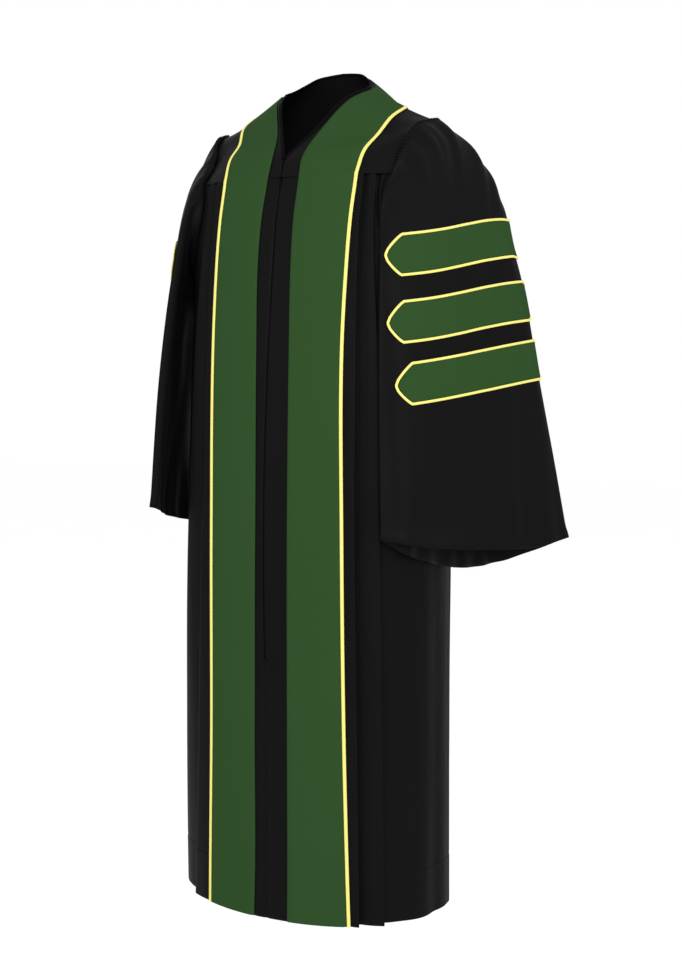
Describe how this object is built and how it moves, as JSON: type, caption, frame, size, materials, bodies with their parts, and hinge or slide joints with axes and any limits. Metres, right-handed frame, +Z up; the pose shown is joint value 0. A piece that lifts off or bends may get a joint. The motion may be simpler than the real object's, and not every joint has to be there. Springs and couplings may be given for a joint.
{
  "type": "graduation gown",
  "caption": "Doctoral graduation gown: a hollow open-necked robe with pleated fronts, wide bell sleeves, piped facing bands and pointed sleeve bars.",
  "frame": {"origin": "between the two sides of the neck opening, level with their highest points at the shoulder seams, in the middle of the width; the wearer's shoulders carry the gown around this point", "axes": "+Z up, the front faces -Y, the wearer's left is +X"},
  "size_m": [0.7342, 0.3431, 1.3726],
  "materials": {
    "black_cloth": "black satin-faced gown cloth with a soft sheen",
    "green_cloth": "dark green velvet, matt",
    "cream_piping": "cream-yellow satin piping",
    "black_tape": "black woven zip tape"
  },
  "bodies": {
    "root": {"front_left": "black_cloth", "front_right": "black_cloth", "yoke_front_left": "black_cloth", "yoke_front_right": "black_cloth", "yoke_back": "black_cloth", "back": "black_cloth", "neck_binding": "black_cloth", "sleeve_left": "black_cloth", "sleeve_right": "black_cloth", "band_left": "green_cloth", "band_right": "green_cloth", "bar_left_1": "green_cloth", "bar_left_2": "green_cloth", "bar_left_3": "green_cloth", "bar_right_1": "green_cloth", "bar_right_2": "green_cloth", "bar_right_3": "green_cloth", "piping_left": "cream_piping", "piping_right": "cream_piping", "bar_piping_left_1": "cream_piping", "bar_piping_left_2": "cream_piping", "bar_piping_left_3": "cream_piping", "bar_piping_right_1": "cream_piping", "bar_piping_right_2": "cream_piping", "bar_piping_right_3": "cream_piping", "zip_tape": "black_tape"}
  },
  "joints": []
}
